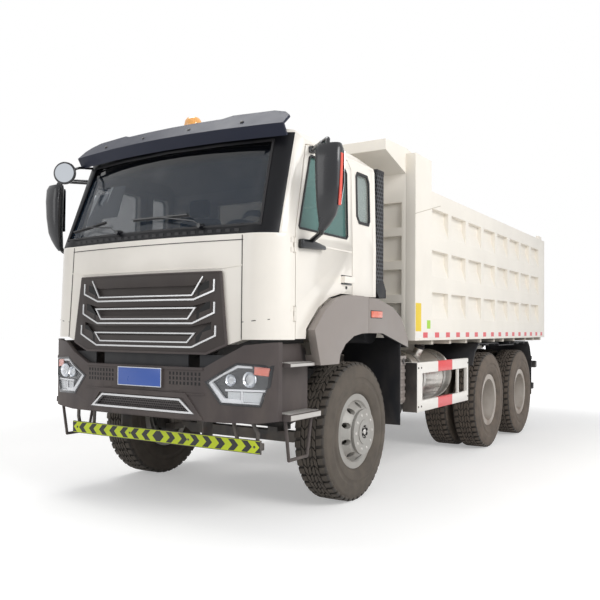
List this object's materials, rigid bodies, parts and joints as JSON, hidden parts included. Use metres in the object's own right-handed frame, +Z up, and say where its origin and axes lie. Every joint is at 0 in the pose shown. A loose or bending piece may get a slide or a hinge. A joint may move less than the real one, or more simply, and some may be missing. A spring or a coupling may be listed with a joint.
{
  "type": "three-axle dump truck",
  "caption": "Three-axle dump truck with a forward-tilting cab, a ribbed front-lift tipping bed with a canopy over the cab, twin drive wheels, opening doors and a swinging tailgate.",
  "frame": {"origin": "on the ground, at the middle of the truck's length and width", "axes": "+Z up, +Y towards the tailgate, +X towards the truck's left side; the truck faces -Y"},
  "size_m": [3, 7.237, 3.12],
  "materials": {
    "ivory_paint": "satin",
    "bed_paint": "satin",
    "chassis_black": "satin",
    "steel_grey": "rough",
    "taupe_plastic": "textured",
    "flare_plastic": "textured",
    "black_plastic": "textured",
    "visor_plastic": "tinted",
    "window_glass": "tinted",
    "door_glass": "tinted",
    "lamp_lens": "clear",
    "amber_lens": "clear",
    "tyre_rubber": "dusty",
    "rim_silver": "satin",
    "tank_metal": "brushed",
    "hoist_chrome": "polished",
    "board_yellow": "reflective",
    "seat_fabric": "woven",
    "guard_paint": "satin"
  },
  "bodies": {
    "chassis": {"chassis_frame": "chassis_black", "tipper_subframe": "chassis_black", "front_axle": "steel_grey", "leaf_springs": "steel_grey", "drive_axles": "steel_grey", "engine": "steel_grey", "propshafts": "chassis_black", "bumper": "taupe_plastic", "lamps": "lamp_lens", "underrun_bar": "board_yellow", "cab_steps": "taupe_plastic", "mudguards": "black_plastic", "side_guards": "guard_paint", "tanks": "tank_metal", "chassis_boxes": "steel_grey", "intake_stack": "black_plastic", "rear_bar": "chassis_black"},
    "cab": {"cab_front_panel": "ivory_paint", "cab_roof": "ivory_paint", "cab_rear_wall": "ivory_paint", "cab_floor": "ivory_paint", "cab_sides": "ivory_paint", "windscreen_frame": "black_plastic", "cab_glass": "window_glass", "grille": "taupe_plastic", "sun_visor": "visor_plastic", "beacon": "amber_lens", "wheel_arches": "flare_plastic", "seats": "seat_fabric", "dashboard": "black_plastic", "kerb_mirror": "black_plastic"},
    "door_left": {"door_left": "ivory_paint", "door_glass_left": "door_glass", "mirror_left": "black_plastic"},
    "door_right": {"door_right": "ivory_paint", "door_glass_right": "door_glass", "mirror_right": "black_plastic"},
    "knuckle_left": {"steering_knuckle_left": "steel_grey"},
    "knuckle_right": {"steering_knuckle_right": "steel_grey"},
    "front_wheel_left": {"front_tyre_left": "tyre_rubber", "front_rim_left": "rim_silver"},
    "front_wheel_right": {"front_tyre_right": "tyre_rubber", "front_rim_right": "rim_silver"},
    "bed": {"bed_floor": "bed_paint", "bed_sides": "bed_paint", "bed_front_wall": "bed_paint"},
    "tailgate": {"tailgate": "bed_paint"},
    "hoist_barrel": {"hoist_barrel": "chassis_black"},
    "hoist_stage_1": {"hoist_stage_1": "hoist_chrome"},
    "hoist_stage_2": {"hoist_stage_2": "hoist_chrome"},
    "hoist_stage_3": {"hoist_stage_3": "hoist_chrome"},
    "drive_wheels_1_left": {"drive_tyres_1_left": "tyre_rubber", "drive_rims_1_left": "rim_silver"},
    "drive_wheels_1_right": {"drive_tyres_1_right": "tyre_rubber", "drive_rims_1_right": "rim_silver"},
    "drive_wheels_2_left": {"drive_tyres_2_left": "tyre_rubber", "drive_rims_2_left": "rim_silver"},
    "drive_wheels_2_right": {"drive_tyres_2_right": "tyre_rubber", "drive_rims_2_right": "rim_silver"}
  },
  "joints": [
    {"name": "cab_tilt", "type": "hinge", "parent": "chassis", "child": "cab", "pos_m": [0, -3.5005, 0.96], "axis": [1, 0, 0], "range_deg": [0, 50]},
    {"name": "bed_tilt", "type": "hinge", "parent": "chassis", "child": "bed", "pos_m": [0, 3.1795, 1.15], "axis": [-1, 0, 0], "range_deg": [0, 45]},
    {"name": "tailgate_swing", "type": "hinge", "parent": "bed", "child": "tailgate", "pos_m": [0, 3.5835, 2.74], "axis": [1, 0, 0], "range_deg": [0, 80]},
    {"name": "door_left_swing", "type": "hinge", "parent": "cab", "child": "door_left", "pos_m": [1.147, -3.2855, 1.7], "axis": [0, 0, -1], "range_deg": [0, 70]},
    {"name": "steer_left", "type": "hinge", "parent": "chassis", "child": "knuckle_left", "pos_m": [0.8, -2.3205, 0.556], "axis": [0, 0, 1], "range_deg": [-35, 35]},
    {"name": "front_wheel_left_spin", "type": "hinge", "parent": "knuckle_left", "child": "front_wheel_left", "pos_m": [1.012, -2.3205, 0.556], "axis": [1, 0, 0], "continuous": true},
    {"name": "door_right_swing", "type": "hinge", "parent": "cab", "child": "door_right", "pos_m": [-1.147, -3.2855, 1.7], "axis": [0, 0, 1], "range_deg": [0, 70]},
    {"name": "steer_right", "type": "hinge", "parent": "chassis", "child": "knuckle_right", "pos_m": [-0.8, -2.3205, 0.556], "axis": [0, 0, 1], "range_deg": [-35, 35]},
    {"name": "front_wheel_right_spin", "type": "hinge", "parent": "knuckle_right", "child": "front_wheel_right", "pos_m": [-1.012, -2.3205, 0.556], "axis": [1, 0, 0], "continuous": true},
    {"name": "drive_wheels_1_left_spin", "type": "hinge", "parent": "chassis", "child": "drive_wheels_1_left", "pos_m": [0.93, 0.9045, 0.556], "axis": [1, 0, 0], "continuous": true},
    {"name": "drive_wheels_1_right_spin", "type": "hinge", "parent": "chassis", "child": "drive_wheels_1_right", "pos_m": [-0.93, 0.9045, 0.556], "axis": [1, 0, 0], "continuous": true},
    {"name": "drive_wheels_2_left_spin", "type": "hinge", "parent": "chassis", "child": "drive_wheels_2_left", "pos_m": [0.93, 2.2545, 0.556], "axis": [1, 0, 0], "continuous": true},
    {"name": "drive_wheels_2_right_spin", "type": "hinge", "parent": "chassis", "child": "drive_wheels_2_right", "pos_m": [-0.93, 2.2545, 0.556], "axis": [1, 0, 0], "continuous": true},
    {"name": "hoist_swing", "type": "hinge", "parent": "chassis", "child": "hoist_barrel", "pos_m": [0, -1.6305, 1.08], "axis": [-1, 0, 0], "range_deg": [0, 30]},
    {"name": "hoist_slide_1", "type": "slide", "parent": "hoist_barrel", "child": "hoist_stage_1", "axis": [0, 0, 1], "range_m": [0, 1.207]},
    {"name": "hoist_slide_2", "type": "slide", "parent": "hoist_stage_1", "child": "hoist_stage_2", "axis": [0, 0, 1], "range_m": [0, 1.207]},
    {"name": "hoist_slide_3", "type": "slide", "parent": "hoist_stage_2", "child": "hoist_stage_3", "axis": [0, 0, 1], "range_m": [0, 1.207]}
  ],
  "couplings": [
    {"joint": "steer_right", "follows": "steer_left", "ratio": 1},
    {"joint": "hoist_swing", "follows": "bed_tilt", "ratio": 0.63526},
    {"joint": "hoist_slide_1", "follows": "bed_tilt", "m_per_rad": 1.5241},
    {"joint": "hoist_slide_2", "follows": "bed_tilt", "m_per_rad": 1.5241},
    {"joint": "hoist_slide_3", "follows": "bed_tilt", "m_per_rad": 1.5241}
  ]
}
